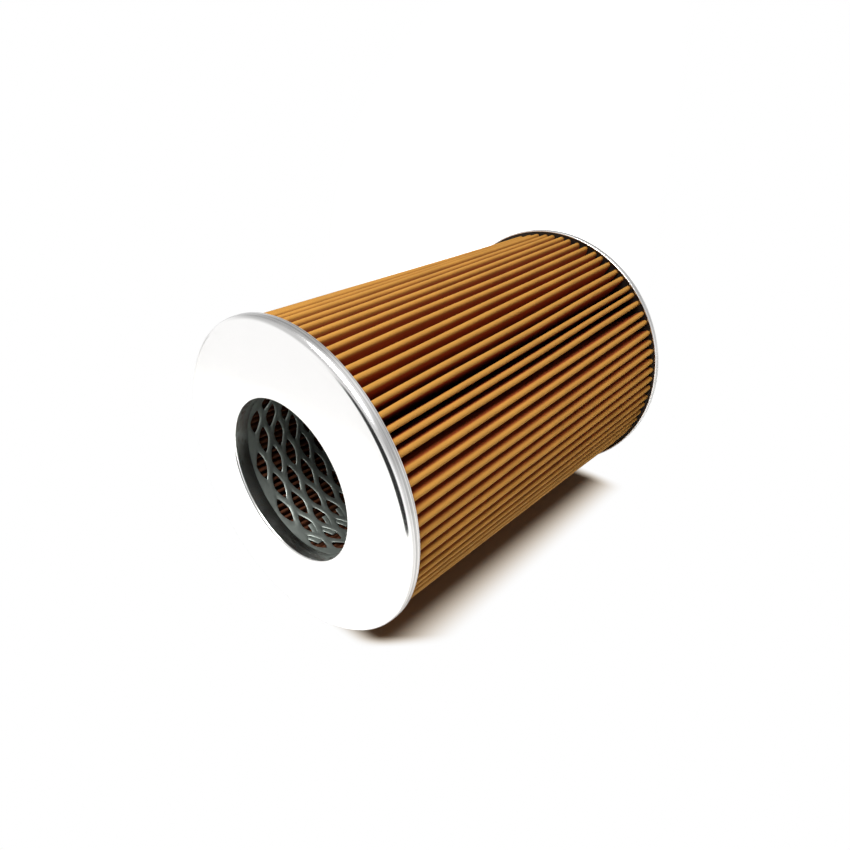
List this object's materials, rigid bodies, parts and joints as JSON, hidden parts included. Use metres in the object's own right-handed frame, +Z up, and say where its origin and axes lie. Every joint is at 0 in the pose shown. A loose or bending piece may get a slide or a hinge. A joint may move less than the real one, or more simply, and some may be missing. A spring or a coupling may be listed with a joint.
{
  "type": "pleated filter element",
  "caption": "Cylindrical oil filter element: folded paper between two pressed metal end caps, round a diamond mesh core with an open bore.",
  "frame": {"origin": "middle of the lower end cap's outer face, which the element stands on", "axes": "+Z up along the element's axis; the core's lapped seam and the paper's clamped seam are on the +Y side"},
  "size_m": [0.15, 0.15, 0.21],
  "materials": {
    "cap_metal": "tinplate with fine circular spinning marks",
    "adhesive": "dark cast adhesive",
    "core_metal": "zinc plated expanded sheet",
    "filter_paper": "resin treated paper, fine fibre grain",
    "clip_metal": "folded tinplate strip"
  },
  "bodies": {
    "root": {"bottom_end_cap": "cap_metal", "top_end_cap": "cap_metal", "bottom_adhesive": "adhesive", "top_adhesive": "adhesive", "core_tube": "core_metal", "pleated_paper": "filter_paper", "paper_seam_clip": "clip_metal"}
  },
  "joints": []
}
